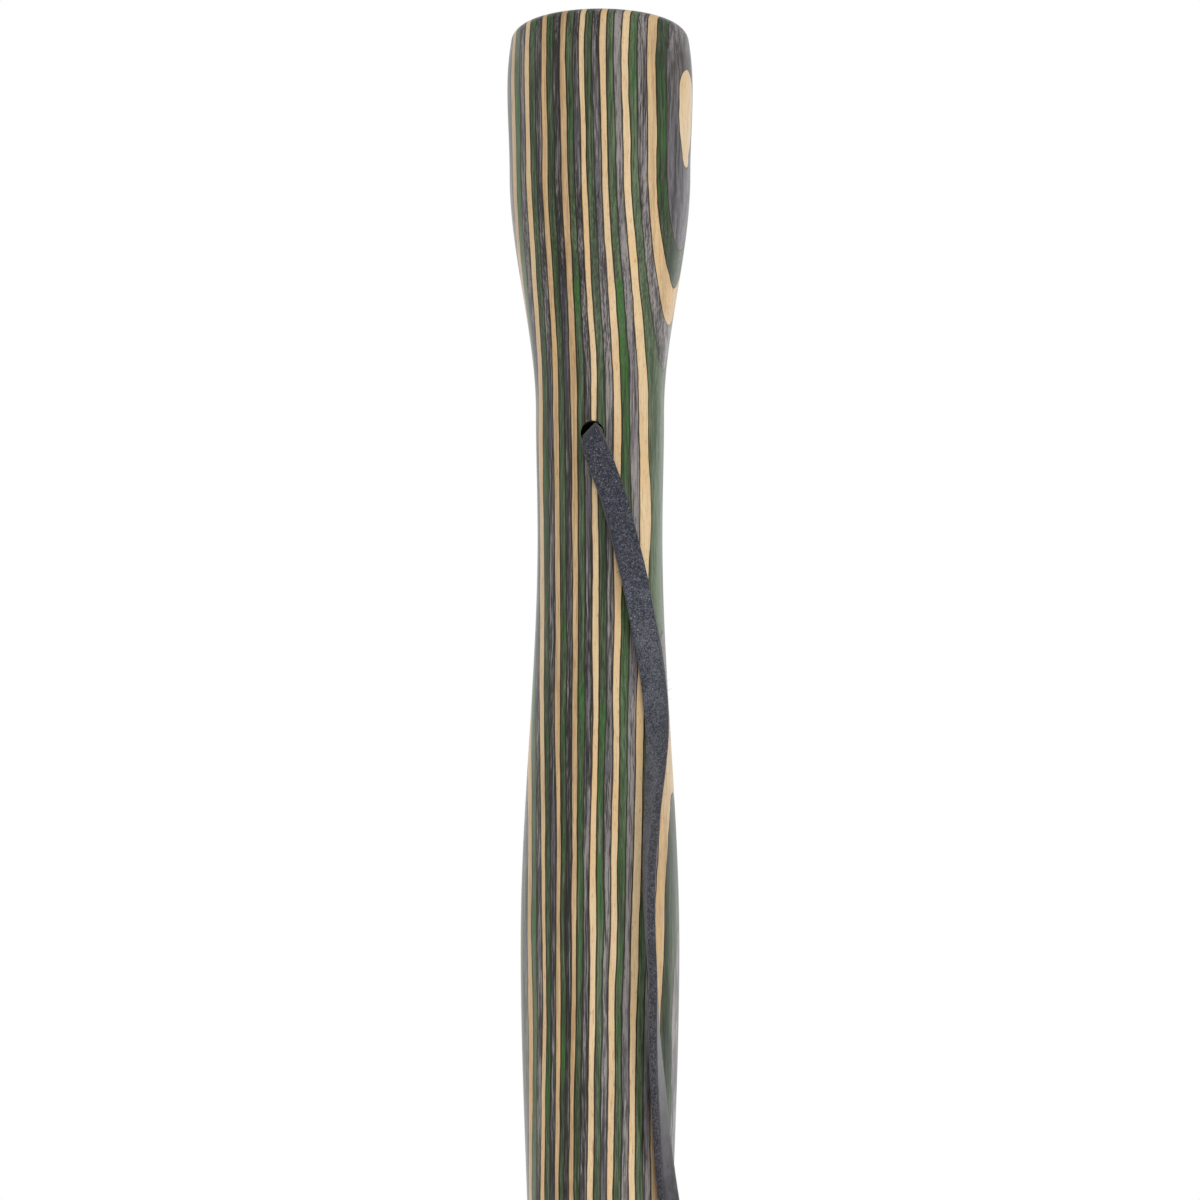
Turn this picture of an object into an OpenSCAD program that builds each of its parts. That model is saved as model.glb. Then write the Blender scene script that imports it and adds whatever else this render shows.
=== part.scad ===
// Hiking staff turned from laminated wood veneers, with a leather wrist strap and a rubber ferrule.
// Frame: origin at the middle of the ferrule's sole, +Z up the staff, strap bore along Y, front at -Y.

/* [Turned form] */
// Overall length, from the sole of the ferrule to the top of the head
staff_length = 1220; // [1100:10:1400]
// Radius of the crown, the low dome on top of the head
crown_r = 75; // [60:1:90]
// Radius of the rounded shoulder between the crown and the side of the head
shoulder_r = 2.8; // [2:0.1:4]
// How far the side of the head draws in between its widest place and the shoulder
head_draw = 0.9; // [0.5:0.05:1.5]
// Diameter of the head at its widest place
head_d = 41.6; // [40.8:0.1:44]
// Depth of the head's widest place below the top
head_depth = 15.5; // [12:0.5:20]
// Diameter at the brow, where the head begins to fall towards the neck
brow_d = 40.5; // [38:0.1:40.8]
// Depth of the brow below the top
brow_depth = 35.5; // [30:0.5:44]
// Diameter at the neck, where the fall of the head ends
neck_d = 28.6; // [28:0.1:31]
// Depth of the neck below the top
neck_depth = 91; // [80:0.5:98]
// Diameter of the waist, the thinnest place of the grip
waist_d = 27.8; // [26:0.1:28]
// Depth of the waist below the top
waist_depth = 120; // [110:0.5:132]
// Diameter of the palm swell
swell_d = 35.1; // [33:0.1:36.5]
// Depth of the palm swell below the top
swell_depth = 213; // [198:0.5:228]
// Diameter at the top of the long shaft
shaft_d = 30.6; // [29:0.1:32.5]
// Depth of the top of the long shaft below the top of the head
shaft_depth = 306; // [290:1:335]
// Diameter of the tip that the ferrule is pushed onto
tip_d = 22; // [20:0.1:24]
// Length of the straight tip
tip_l = 36; // [34:0.5:44]

/* [Veneers] */
// Thickness of one veneer
veneer_t = 1.5; // [1.2:0.05:2]
// What the turning leaves of the outermost veneer on the right of the head
edge_veneer_t = 0.45; // [0.25:0.05:1]
// Turn of the veneers' faces, from the front towards the right, in degrees
lamination_turn = 80; // [60:1:100]

/* [Wrist strap] */
// Diameter of the bore that the lace goes through
bore_d = 5.2; // [5:0.1:6.5]
// Depth of the bore below the top
bore_depth = 99.5; // [96:0.5:106]
// Width of the leather lace
lace_w = 5.8; // [5:0.1:6.2]
// Thickness of the leather lace
lace_t = 1.9; // [1.5:0.1:2]
// Width of the lace where it is folded up inside the bore
lace_bore_w = 4.2; // [3.6:0.1:4.4]
// Thickness of the lace where it is folded up inside the bore
lace_bore_t = 2.4; // [2:0.1:2.6]
// Drop from the bore to the top of the knot
knot_drop = 228; // [224:1:250]
// Diameter of the knot
knot_d = 13; // [12:0.5:16]
// Height of the knot
knot_h = 14; // [12:0.5:18]
// Diameter of the knot's flat top and bottom, where the strands go in
knot_flat_d = 9.5; // [9:0.5:11]
// Gap between the two strands where they go into the knot
strand_gap = 0.7; // [0.5:0.1:1.5]
// Gap between the knot and the shaft
knot_clear = 0.5; // [0.3:0.1:2]

/* [Ferrule] */
// Diameter of the sole
sole_d = 34; // [32:0.5:42]
// Thickness of rubber under the washer
sole_t = 8.5; // [7:0.5:12]
// Height of the upright edge round the sole
sole_edge_h = 5; // [4:0.5:7]
// Chamfer round the sole
sole_chamfer = 1; // [0.5:0.1:2]
// Height of the top of the flare above the sole
flare_h = 15; // [12:0.5:18]
// Diameter of the collar above the flare
collar_d = 27.6; // [26.5:0.1:30]
// Height of the whole ferrule
ferrule_h = 44; // [40:0.5:44]
// Radius of the beads round the collar
bead_r = 0.9; // [0.5:0.1:1.2]
// Distance from one bead to the next
bead_pitch = 8; // [6:0.5:9]
// Radial clearance of the tip in the socket
socket_clear = 0.05; // [0.02:0.01:0.1]
// Distance from one tread groove to the next
tread_pitch = 5; // [4:0.5:6]
// Width of a tread groove
tread_groove_w = 1.6; // [1:0.1:2]
// Depth of a tread groove
tread_groove_h = 1.8; // [1:0.1:2.5]
// Diameter of the steel washer at the bottom of the socket
washer_d = 20; // [16:0.5:20]
// Diameter of the washer's hole
washer_bore_d = 6; // [4:0.5:10]
// Thickness of the washer
washer_t = 1.5; // [1:0.1:2]

/* [Hidden] */
// One overrun serves all cuts
overrun = 1;
round_fn = 96;

// Turned form: stations from the head down, each a depth below the top and a radius
head_r = head_d / 2;
stations = [
    [head_depth, head_r],
    [brow_depth, brow_d / 2],
    [neck_depth, neck_d / 2],
    [waist_depth, waist_d / 2],
    [swell_depth, swell_d / 2],
    [shaft_depth, shaft_d / 2],
];
crown_steps = 4;
shoulder_steps = 5;
side_steps = 3;
form_steps = 6;
taper_steps = 2;
arc_step = 6;
axis_steps = 4;
glue_snap = 0.05;
seat_z = sole_t + washer_t;
tip_top_z = seat_z + tip_l;

// Angles of the crown and the shoulder, measured from the axis
shoulder_angle = 76;
shoulder_middle_r = head_r - head_draw - shoulder_r * sin(shoulder_angle);
crown_angle = asin(shoulder_middle_r / (crown_r - shoulder_r));
shoulder_middle_depth = crown_r - (crown_r - shoulder_r) * cos(crown_angle);
shoulder_end_depth = shoulder_middle_depth - shoulder_r * cos(shoulder_angle);

// Veneers, counted from the right; the first and the last take all that is left of the blank
dyes = ["tan", "grey", "green"];
dye_colours = ["burlywood", "dimgray", "darkolivegreen"];
first_glue_line = head_r - edge_veneer_t;
least_veneer_share = 0.15;
veneer_count = ceil((head_r + first_glue_line) / veneer_t - least_veneer_share) + 1;
blank_reach = max(head_d, swell_d) / 2 + overrun;

// Lace places: x, y, drop below the bore, roll in degrees, and the share that it is folded up
bore_z = staff_length - bore_depth;
lace_corner = lace_t / 4;
knot_x = form_r(bore_depth + knot_drop) + knot_clear + knot_d / 2;
strand_y = (strand_gap + lace_t) / 2;
knot_steps = 12;
front_route = [
    [0.2, -13, 0.2, -45, 1],
    [0.2, -14.6, 0.2, -45, 1],
    [0.3, -16.1, 0.7, -38, 0.85],
    [0.6, -17.1, 2.3, -25, 0.45],
    [1.2, -17.1, 4.6, -8, 0.1],
    [2.6, -16.5, 8.8, 8, 0],
    [4.6, -15.5, 14.4, 15, 0],
    [7.1, -14.6, 24, 15, 0],
    [9.6, -13.9, 34.8, 9, 0],
    [10.9, -13.6, 41.5, -3, 0],
    [12.3, -13.2, 48.7, -17, 0],
    [13.3, -12.8, 55.8, -27, 0],
    [14, -12.5, 63, -31, 0],
    [14.3, -12.7, 69, -37, 0],
    [14.1, -13.6, 76.5, -46, 0],
    [13.6, -14.7, 85, -56, 0],
    [13.1, -15.8, 94.5, -65, 0],
    [12.9, -16.5, 104.8, -73, 0],
    [13.2, -16.6, 116, -78, 0],
    [13.7, -16, 126, -83, 0],
    [13.9, -15.5, 136.6, -90, 0],
    [14.4, -14, 148, -101, 0],
    [15.1, -11.2, 161, -110, 0],
    [16.2, -8.4, 173.5, -121, 0],
    [17.8, -5.9, 186.5, -135, 0],
    [19.6, -3.9, 200.5, -150, 0],
    [21.3, -2.3, 214, -165, 0],
    [knot_x, -strand_y, knot_drop, -180, 0],
];
back_route = [
    [0, 13, 0, 0, 1],
    [0, 14.5, 0, 0, 1],
    [0.3, 15.9, 0.8, 0, 0.8],
    [0.7, 16.6, 2.2, 2, 0.4],
    [1.1, 16.6, 4.2, 4, 0.1],
    [1.7, 16, 8, 6, 0],
    [2.5, 15.7, 14, 9, 0],
    [3.5, 15.4, 24, 13, 0],
    [4.5, 15.3, 36, 16, 0],
    [5.4, 15.6, 48, 19, 0],
    [6.3, 16.3, 62, 21, 0],
    [7.2, 17, 77, 23, 0],
    [8, 17.5, 93, 25, 0],
    [8.8, 17.6, 110, 27, 0],
    [9.5, 17.2, 126, 30, 0],
    [10.3, 16.4, 142, 33, 0],
    [11.2, 15.2, 157, 36, 0],
    [12.4, 13.4, 171, 38, 0],
    [14.4, 10.6, 185, 35, 0],
    [17.1, 7.2, 199, 25, 0],
    [20, 3.8, 213, 12, 0],
    [knot_x, strand_y, knot_drop, 0, 0],
];

// Lace tails, below the knot: x and y from the middle of the knot, drop, roll and folded share
tail_long_route = [
    [0, -strand_y, 0, 0, 0],
    [0.3, -1.8, 8, 6, 0],
    [1.3, -3, 18, 14, 0],
    [2, -4.2, 30, 20, 0],
    [1.8, -5, 46, 24, 0],
];
tail_short_route = [
    [0, strand_y, 0, 0, 0],
    [0.4, 1.9, 7, 5, 0],
    [1.6, 3.2, 16, 10, 0],
    [3, 4.4, 26, 14, 0],
    [4, 5, 37, 16, 0],
];

// Ferrule
socket_d = tip_d + 2 * socket_clear;
flare_steps = 6;
bead_count = 3;
first_bead_z = flare_h + bead_pitch / 2;
tread_count = 2;

// Names such as veneer_01_tan
function veneer_name(k) = str("veneer_", k < 9 ? "0" : "", k + 1, "_", dyes[k % len(dyes)]);

// Rises smoothly from 0 to 1 as t goes from 0 to 1
function smooth(t) = let (s = min(max(t, 0), 1)) s * s * (3 - 2 * s);

function total(values, i = 0) = i < len(values) ? values[i] + total(values, i + 1) : 0;

function mixed(a, b, t) = a + (b - a) * t;

// Radius of the grip at a depth below the top, from the head's widest place down to the shaft
function form_r(depth) = stations[0][1] + total([
    for (i = [0 : len(stations) - 2])
        (stations[i + 1][1] - stations[i][1])
            * smooth((depth - stations[i][0]) / (stations[i + 1][0] - stations[i][0]))
]);

// Outline of the turned staff, radius and height, from the top of the crown down to the tip
function staff_outline() = concat(
    [[0, staff_length]],
    [for (i = [1 : crown_steps])
        let (a = crown_angle * i / crown_steps)
            [crown_r * sin(a), staff_length - crown_r * (1 - cos(a))]],
    [for (i = [1 : shoulder_steps])
        let (a = mixed(crown_angle, shoulder_angle, i / shoulder_steps))
            [shoulder_middle_r + shoulder_r * sin(a),
             staff_length - shoulder_middle_depth + shoulder_r * cos(a)]],
    [for (i = [1 : side_steps])
        let (s = i / side_steps)
            [head_r - head_draw * pow(1 - s, 2),
             staff_length - mixed(shoulder_end_depth, head_depth, s)]],
    [for (i = [0 : len(stations) - 2], j = [1 : form_steps])
        let (depth = mixed(stations[i][0], stations[i + 1][0], j / form_steps))
            [form_r(depth), staff_length - depth]],
    [for (i = [1 : taper_steps])
        let (s = i / taper_steps)
            [mixed(shaft_d, tip_d, s) / 2, mixed(staff_length - shaft_depth, tip_top_z, s)]],
    [[tip_d / 2, seat_z]]
);

// How far veneer k reaches from the axis towards the left and towards the right
function veneer_near(k) = k == veneer_count - 1 ? -blank_reach : first_glue_line - k * veneer_t;
function veneer_far(k) = k == 0 ? blank_reach : first_glue_line - (k - 1) * veneer_t;

// The outline's rings, with one more wherever the turned surface comes down to one of two glue lines
function veneer_rings(near, far) =
    let (
        low = min(abs(near), abs(far)),
        high = max(abs(near), abs(far)),
        outline = [for (p = staff_outline()) [snapped(snapped(p[0], low), high), p[1]]]
    )
    [for (i = [0 : len(outline) - 1])
        each concat([outline[i]], crossings(outline[i], outline[min(i + 1, len(outline) - 1)], low, high))];

// A radius that almost meets a glue line is taken to meet it, which leaves no sliver
function snapped(r, c) = abs(r - c) < glue_snap ? c : r;

// Rings between outline points p and q at the radii low and high, in the order from p to q
function crossings(p, q, low, high) =
    [for (c = p[0] > q[0] ? [high, low] : [low, high])
        if ((p[0] - c) * (q[0] - c) < 0) [c, mixed(p[1], q[1], (c - p[0]) / (q[0] - p[0]))]];

// Angle on a circle of radius r, from the lamination's axis, where a glue line at distance d meets it
function glue_angle(d, r) = r <= abs(d) ? (d > 0 ? 0 : 180) : acos(d / r);

// Corners of one veneer's section in a ring: along the back from right to left, then along the front
function veneer_section(ring, near, far, steps) =
    let (
        r = ring[0],
        first = glue_angle(far, r),
        last = glue_angle(near, r),
        angles = [for (j = [0 : steps]) mixed(first, last, j / steps)]
    )
    concat(
        [for (a = angles) [r * cos(a), r * sin(a), ring[1]]],
        [for (j = [steps : -1 : 0]) [r * cos(angles[j]), -r * sin(angles[j]), ring[1]]]
    );

// True if a triangle has three different corners
function is_open(points, t) =
    points[t[0]] != points[t[1]] && points[t[1]] != points[t[2]] && points[t[2]] != points[t[0]];

// What the turning leaves of a sheet between two glue lines
module turned_sheet(near, far) {
    span = glue_angle(near, head_r) - glue_angle(far, head_r);
    steps = max(near < 0 && far > 0 ? axis_steps : 1, ceil(span / arc_step));
    sides = 2 * (steps + 1);
    rings = veneer_rings(near, far);
    last = len(rings) - 1;
    corners = [for (ring = rings) each veneer_section(ring, near, far, steps)];
    walls = [for (i = [0 : last - 1], j = [0 : sides - 1])
        let (
            k = (j + 1) % sides,
            a = i * sides + j,
            b = i * sides + k,
            c = (i + 1) * sides + k,
            d = (i + 1) * sides + j
        )
        each [[a, b, c], [a, c, d]]];
    foot = [for (j = [1 : sides - 2]) [last * sides, last * sides + j, last * sides + j + 1]];
    polyhedron(points = corners, faces = [for (t = concat(walls, foot)) if (is_open(corners, t)) t], convexity = 6);
}

module strap_bore() {
    translate([0, 0, bore_z])
        rotate([90, 0, 0])
            cylinder(d = bore_d, h = 2 * blank_reach, center = true, $fn = round_fn);
}

module veneer(k) {
    color(dye_colours[k % len(dyes)])
        difference() {
            rotate([0, 0, lamination_turn - 90])
                turned_sheet(veneer_near(k), veneer_far(k));
            strap_bore();
        }
}

function unit(v) = v / norm(v);

// Direction of a route at point i
function heading(points, i) =
    unit(points[min(i + 1, len(points) - 1)] - points[max(i - 1, 0)]);

// Eight corners of a flat lace of width w and thickness t, across and through
function lace_section(w, t) = let (a = w / 2, b = t / 2, c = lace_corner)
    [[a, b - c], [a - c, b], [c - a, b], [-a, b - c], [-a, c - b], [c - a, -b], [a - c, -b], [a, c - b]];

// Rings of corners along a route. The lace faces up where it is folded in the bore and outwards below it,
// both turned by its roll towards the right, and its two ends are square to the headings given
function lace_rings(route, start, out, first_heading, last_heading) =
    let (
        points = [for (p = route) start + [p[0], p[1], -p[2]]],
        last = len(points) - 1
    )
    [for (i = [0 : last])
        let (
            along = i == 0 ? first_heading : i == last ? last_heading : heading(points, i),
            roll = route[i][3],
            folded = route[i][4],
            facing = mixed(out, up, folded) * cos(roll) + right * sin(roll),
            face = unit(facing - (facing * along) * along),
            across = cross(along, face),
            w = mixed(lace_w, lace_bore_w, folded),
            t = mixed(lace_t, lace_bore_t, folded)
        )
        [for (c = lace_section(w, t)) points[i] + across * c[0] + face * c[1]]];

// One closed tube through the rings
module lace_tube(rings) {
    sides = len(rings[0]);
    last = len(rings) - 1;
    corners = [for (ring = rings) for (corner = ring) corner];
    walls = [for (i = [0 : last - 1], j = [0 : sides - 1])
        let (
            k = (j + 1) % sides,
            a = i * sides + j,
            b = i * sides + k,
            c = (i + 1) * sides + k,
            d = (i + 1) * sides + j
        )
        each [[a, b, c], [a, c, d]]];
    first_cap = [for (j = [sides - 1 : -1 : 0]) j];
    last_cap = [for (j = [0 : sides - 1]) last * sides + j];
    color("#26262b")
        polyhedron(points = corners, faces = concat(walls, [first_cap, last_cap]), convexity = 6);
}

up = [0, 0, 1];
down = [0, 0, -1];
front = [0, -1, 0];
back = [0, 1, 0];
right = [1, 0, 0];
bore_middle = [0, 0, bore_z];
knot_bottom = [knot_x, 0, bore_z - knot_drop - knot_h];

// The front strand, from inside the bore's front mouth to the knot
module lace_front() {
    lace_tube(lace_rings(front_route, bore_middle, front, front, down));
}

// The back strand, from inside the bore's back mouth to the knot
module lace_back() {
    lace_tube(lace_rings(back_route, bore_middle, back, back, down));
}

// The stretch that is folded up inside the bore, between the two strands
module lace_bore() {
    lace_tube(lace_rings([back_route[0], front_route[0]], bore_middle, front, front, front));
}

// The tail of the front strand, under the knot
module lace_tail_long() {
    lace_tube(lace_rings(tail_long_route, knot_bottom, front, down, down));
}

// The tail of the back strand, under the knot
module lace_tail_short() {
    lace_tube(lace_rings(tail_short_route, knot_bottom, back, down, down));
}

// The overhand knot that closes the loop, as one barrel
module lace_knot() {
    color("#26262b")
        translate(knot_bottom + up * knot_h / 2)
            rotate_extrude($fn = round_fn)
                polygon(concat(
                    [[0, knot_h / 2]],
                    [for (i = [0 : knot_steps])
                        let (a = 180 * i / knot_steps)
                            [mixed(knot_flat_d, knot_d, sin(a)) / 2, knot_h / 2 * cos(a)]],
                    [[0, -knot_h / 2]]
                ));
}

function ferrule_outline() = concat(
    [[0, 0], [sole_d / 2 - sole_chamfer, 0], [sole_d / 2, sole_chamfer], [sole_d / 2, sole_edge_h]],
    [for (i = [1 : flare_steps])
        let (s = i / flare_steps)
            [mixed(sole_d, collar_d, smooth(s)) / 2, mixed(sole_edge_h, flare_h, s)]],
    [[collar_d / 2, ferrule_h], [socket_d / 2, ferrule_h], [socket_d / 2, sole_t], [0, sole_t]]
);

// Moulded rubber: a flared foot with a socket for the tip, beads round its collar and a grooved sole
module rubber_ferrule() {
    color("#2b2b2d")
        difference() {
            union() {
                rotate_extrude($fn = round_fn)
                    polygon(ferrule_outline());
                for (i = [0 : bead_count - 1])
                    translate([0, 0, first_bead_z + i * bead_pitch])
                        rotate_extrude($fn = round_fn)
                            translate([collar_d / 2, 0])
                                circle(r = bead_r, $fn = round_fn);
            }
            for (i = [1 : tread_count])
                translate([0, 0, -overrun])
                    difference() {
                        cylinder(d = 2 * i * tread_pitch + tread_groove_w, h = tread_groove_h + overrun,
                                 $fn = round_fn);
                        cylinder(d = 2 * i * tread_pitch - tread_groove_w, h = tread_groove_h + overrun,
                                 $fn = round_fn);
                    }
        }
}

// Steel washer that lies on the bottom of the socket, under the tip
module ferrule_washer() {
    color("silver")
        translate([0, 0, sole_t])
            difference() {
                cylinder(d = washer_d, h = washer_t, $fn = round_fn);
                translate([0, 0, -overrun])
                    cylinder(d = washer_bore_d, h = washer_t + 2 * overrun, $fn = round_fn);
            }
}

for (k = [0 : veneer_count - 1])
    veneer(k);
lace_front();
lace_bore();
lace_back();
lace_knot();
lace_tail_long();
lace_tail_short();
rubber_ferrule();
ferrule_washer();
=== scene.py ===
"""A hiking staff turned from glued wood veneers, with a leather wrist strap and a rubber ferrule."""
import math

import bpy
import numpy as np
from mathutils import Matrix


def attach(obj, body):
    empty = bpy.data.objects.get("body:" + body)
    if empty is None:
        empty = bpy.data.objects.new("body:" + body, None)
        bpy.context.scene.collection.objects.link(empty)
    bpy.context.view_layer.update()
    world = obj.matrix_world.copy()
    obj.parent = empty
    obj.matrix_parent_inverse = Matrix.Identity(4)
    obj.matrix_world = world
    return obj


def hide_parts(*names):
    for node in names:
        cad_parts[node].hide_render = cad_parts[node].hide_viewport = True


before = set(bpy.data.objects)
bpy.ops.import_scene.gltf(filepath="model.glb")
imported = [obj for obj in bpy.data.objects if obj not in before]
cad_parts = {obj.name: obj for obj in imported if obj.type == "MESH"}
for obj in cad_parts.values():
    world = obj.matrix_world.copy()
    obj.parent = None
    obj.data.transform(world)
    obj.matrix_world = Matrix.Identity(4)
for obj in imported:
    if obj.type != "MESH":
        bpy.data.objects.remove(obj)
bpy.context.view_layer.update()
mm = 0.001

# Camera: below the head and a little to the right of the bore, looking up at the head, far off behind a long
# lens, so that the sides of the staff look parallel. Only the head and the grip are in view.
view_turn = math.radians(7)
view_rise = math.radians(15)
view_distance = 3.2
view_height = 1085.8 * mm
shown_height = 266.7 * mm
level = math.radians(90)
camera_data = bpy.data.cameras.new("grip_camera")
camera_data.sensor_width = 36
camera_data.lens = camera_data.sensor_width * view_distance / shown_height
camera = bpy.data.objects.new("grip_camera", camera_data)
camera_reach = math.cos(view_rise) * view_distance
camera.location = (
    math.sin(view_turn) * camera_reach,
    -math.cos(view_turn) * camera_reach,
    view_height - math.sin(view_rise) * view_distance,
)
camera.rotation_euler = (level + view_rise, 0, view_turn)
bpy.context.scene.collection.objects.link(camera)
bpy.context.scene.camera = camera

# Leather of the wrist strap: a lace cut from dyed split hide. One face is suede with a short nap, the other
# is smooth grain with a dull shine, and the cut edges are raw and shed loose fibres.
suede_deep = (29, 30, 38)
suede_middle = (57, 59, 68)
suede_pale = (102, 104, 112)
suede_fleck = (168, 168, 172)
grain_deep = (36, 34, 38)
grain_pale = (64, 60, 65)
cut_deep = (38, 37, 42)
nap_scale = 3600
clump_scale = 1700
fleck_scale = 2300
smudge_scale = 260
pore_scale = 2900
crease_scale = 420
nap_base_share = 0.075
nap_share = 0.66
clump_share = 0.14
# The next share, and the stretch three lines on, set a painted sheen on the suede
suede_sheen_share = 0.085
smudge_share = 0.24
suede_shares = (0.37, 0.5, 0.65)
suede_sheen_stretch = (25 * mm, 60 * mm)
# The next stretch and share set the painted shade at the start of each lace piece
start_shade_stretch = (8 * mm, 2 * mm)
start_shade_share = 0.6
fleck_limits = (0.69, 0.75)
suede_fleck_share = 0.55
crease_share = 0.65
pore_share = 0.35
grain_limits = (0.35, 0.65)
raw_limits = (0.62, 0.4)
pore_relief_share = 0.3
crease_relief_share = 0.2
leather_depth = 0.14 * mm
suede_roughness = 0.95
grain_roughness = 0.42
leather_shine = {"Specular IOR Level": 0.22, "Sheen Weight": 0.12, "Sheen Roughness": 0.5}
noise_middle = 0.5


def linear(colour):
    """A display colour, from 0 to 255, as the linear colour that a shader takes."""
    toe = 0.04045
    shares = [value / 255 for value in colour]
    return (*[s / 12.92 if s < toe else ((s + 0.055) / 1.055) ** 2.4 for s in shares], 1)


class Flow:
    """A node's socket in sums: operators on it add Math nodes, and node() adds any other node."""

    def __init__(self, tree, socket=None):
        self.tree = tree
        self.socket = socket

    def node(self, kind, settings=None, sockets=None, out=0):
        """Adds a node with its settings and with values or flows in its sockets, and gives one output."""
        made = self.tree.nodes.new(kind)
        for name, value in (settings or {}).items():
            if name == "stops":
                ramp = made.color_ramp.elements
                while len(ramp) < len(value):
                    ramp.new(1)
                for stop, (position, colour) in zip(ramp, value):
                    stop.position = position
                    stop.color = colour
            else:
                setattr(made, name, value)
        for key, value in (sockets or {}).items():
            for item in value if isinstance(value, list) else [value]:
                if isinstance(item, Flow):
                    self.tree.links.new(item.socket, made.inputs[key])
                else:
                    made.inputs[key].default_value = item
        return Flow(self.tree, made.outputs[out] if made.outputs else None)

    def also(self, out):
        """Another output of the same node."""
        return Flow(self.tree, self.socket.node.outputs[out])

    def maths(self, operation, *values):
        """Adds a Math node."""
        return self.node("ShaderNodeMath", {"operation": operation}, dict(enumerate(values)))

    def __add__(self, other):
        return self.maths("ADD", self, other)

    def __radd__(self, other):
        return self.maths("ADD", other, self)

    def __sub__(self, other):
        return self.maths("SUBTRACT", self, other)

    def __rsub__(self, other):
        return self.maths("SUBTRACT", other, self)

    def __mul__(self, other):
        return self.maths("MULTIPLY", self, other)

    def __rmul__(self, other):
        return self.maths("MULTIPLY", other, self)

    def __truediv__(self, other):
        return self.maths("DIVIDE", self, other)

    def __rtruediv__(self, other):
        return self.maths("DIVIDE", other, self)


def noise(place, scale, detail=2):
    """Cloudy values from 0 to 1 over a place."""
    return place.node("ShaderNodeTexNoise", None, {"Vector": place, "Scale": scale, "Detail": detail})


def ripple(place, scale, detail=2):
    """Cloudy values to either side of 0 over a place."""
    return noise(place, scale, detail) - noise_middle


def rise(value, low, high):
    """A smooth step from 0 to 1 as a value goes from low to high."""
    settings = {"interpolation_type": "SMOOTHSTEP"}
    return value.node("ShaderNodeMapRange", settings, {0: value, 1: low, 2: high, 3: 0, 4: 1})


def tint(share, low, high):
    """A colour between two colours, by a share."""
    return share.node("ShaderNodeMix", {"data_type": "RGBA"}, {0: share, 6: low, 7: high}, out=2)


def new_finish(name):
    """An empty material, and the start of its node flow."""
    finish = bpy.data.materials.new(name)
    finish.use_nodes = True
    finish.node_tree.nodes.clear()
    return finish, Flow(finish.node_tree)


def end_finish(flow, colour, roughness, height, depth, constants):
    """Joins a finish's colour, roughness and relief to its shader, whose other sockets are constant."""
    normal = flow.node("ShaderNodeBump", None, {"Strength": 1, "Distance": depth, "Height": height})
    sockets = {"Base Color": colour, "Roughness": roughness, "Normal": normal}
    shader = flow.node("ShaderNodeBsdfPrincipled", None, {**sockets, **constants})
    flow.node("ShaderNodeOutputMaterial", None, {"Surface": shader})


def read(flow, label, out=2):
    """What a mesh says under a label: a number, or a vector from output 1."""
    return flow.node("ShaderNodeAttribute", {"attribute_name": label}, out=out)


leather, flow = new_finish("black_leather_lace")
lie = read(flow, "lie", out=1)
flesh = read(flow, "flesh")
cut = read(flow, "cut")
nap = noise(lie, nap_scale, 3)
clumps = noise(lie, clump_scale)
flecks = rise(noise(lie, fleck_scale, 1), *fleck_limits)
along = flow.node("ShaderNodeSeparateXYZ", None, {0: lie}, out=2)
# Painted sheen: the suede is made lighter from 25 to 60 mm along each lace piece and on beyond, with cloudy
# smudges in that lift, standing in for light on the strands further from the bore
painted_suede_sheen = rise(along, *suede_sheen_stretch)
suede_sheen_and_smudge = suede_sheen_share + smudge_share * ripple(lie, smudge_scale, 3)
fuzz = nap_base_share + nap_share * nap + clump_share * clumps + suede_sheen_and_smudge * painted_suede_sheen
suede_colours = (suede_deep, suede_middle, suede_pale)
suede_stops = [(share, linear(colour)) for share, colour in zip(suede_shares, suede_colours)]
suede = flow.node("ShaderNodeValToRGB", {"stops": suede_stops}, {"Fac": fuzz})
suede = tint(flecks * suede_fleck_share, suede, linear(suede_fleck))
creases = noise(lie, crease_scale, 4)
pores = noise(lie, pore_scale)
grain = rise(crease_share * creases + pore_share * pores, *grain_limits)
smooth_side = tint(grain, linear(grain_deep), linear(grain_pale))
leather_colour = tint(flesh, smooth_side, suede)
leather_colour = tint(cut * rise(nap, *raw_limits), leather_colour, linear(cut_deep))
# Painted shade: every lace piece is darkened towards the deepest suede colour over its first 2 to 8 mm. This
# puts shade where the strands come out of the bore, and at the starts of the knot's pieces and the tails
painted_start_shade = rise(along, *start_shade_stretch)
leather_colour = tint(painted_start_shade * start_shade_share, leather_colour, linear(suede_deep))
leather_roughness = grain_roughness + (suede_roughness - grain_roughness) * flesh
grain_relief = pore_relief_share * pores + crease_relief_share * creases
relief = flesh * fuzz + (1 - flesh) * grain_relief
end_finish(flow, leather_colour, leather_roughness, relief, leather_depth, leather_shine)

# Front strand of the wrist strap: the lace leaves the bore folded up, opens out, slants over the front of
# the grip and turns on edge as it hangs beside the palm swell, down to the knot. Its cut edges shed fibres.
lace_width = 5.8 * mm
lace_thickness = 1.9 * mm
folded_width = 4.2 * mm
folded_thickness = 2.4 * mm
lace_corner = 0.42 * mm
bore_height = 1120.5 * mm
knot_drop = 228
knot_offset = 22.3
strand_offset = 1.3
ring_gap = 0.6 * mm
fibre_length = 1.3 * mm
fibre_thickness = 0.022 * mm
fibres_per_area = 500000.0
edge_ruffle = 0.1 * mm
up = np.array([0.0, 0.0, 1.0])
right = np.array([1.0, 0.0, 0.0])
front = np.array([0.0, -1.0, 0.0])
back = np.array([0.0, 1.0, 0.0])
bore_middle = np.array([0.0, 0.0, bore_height])
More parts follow.
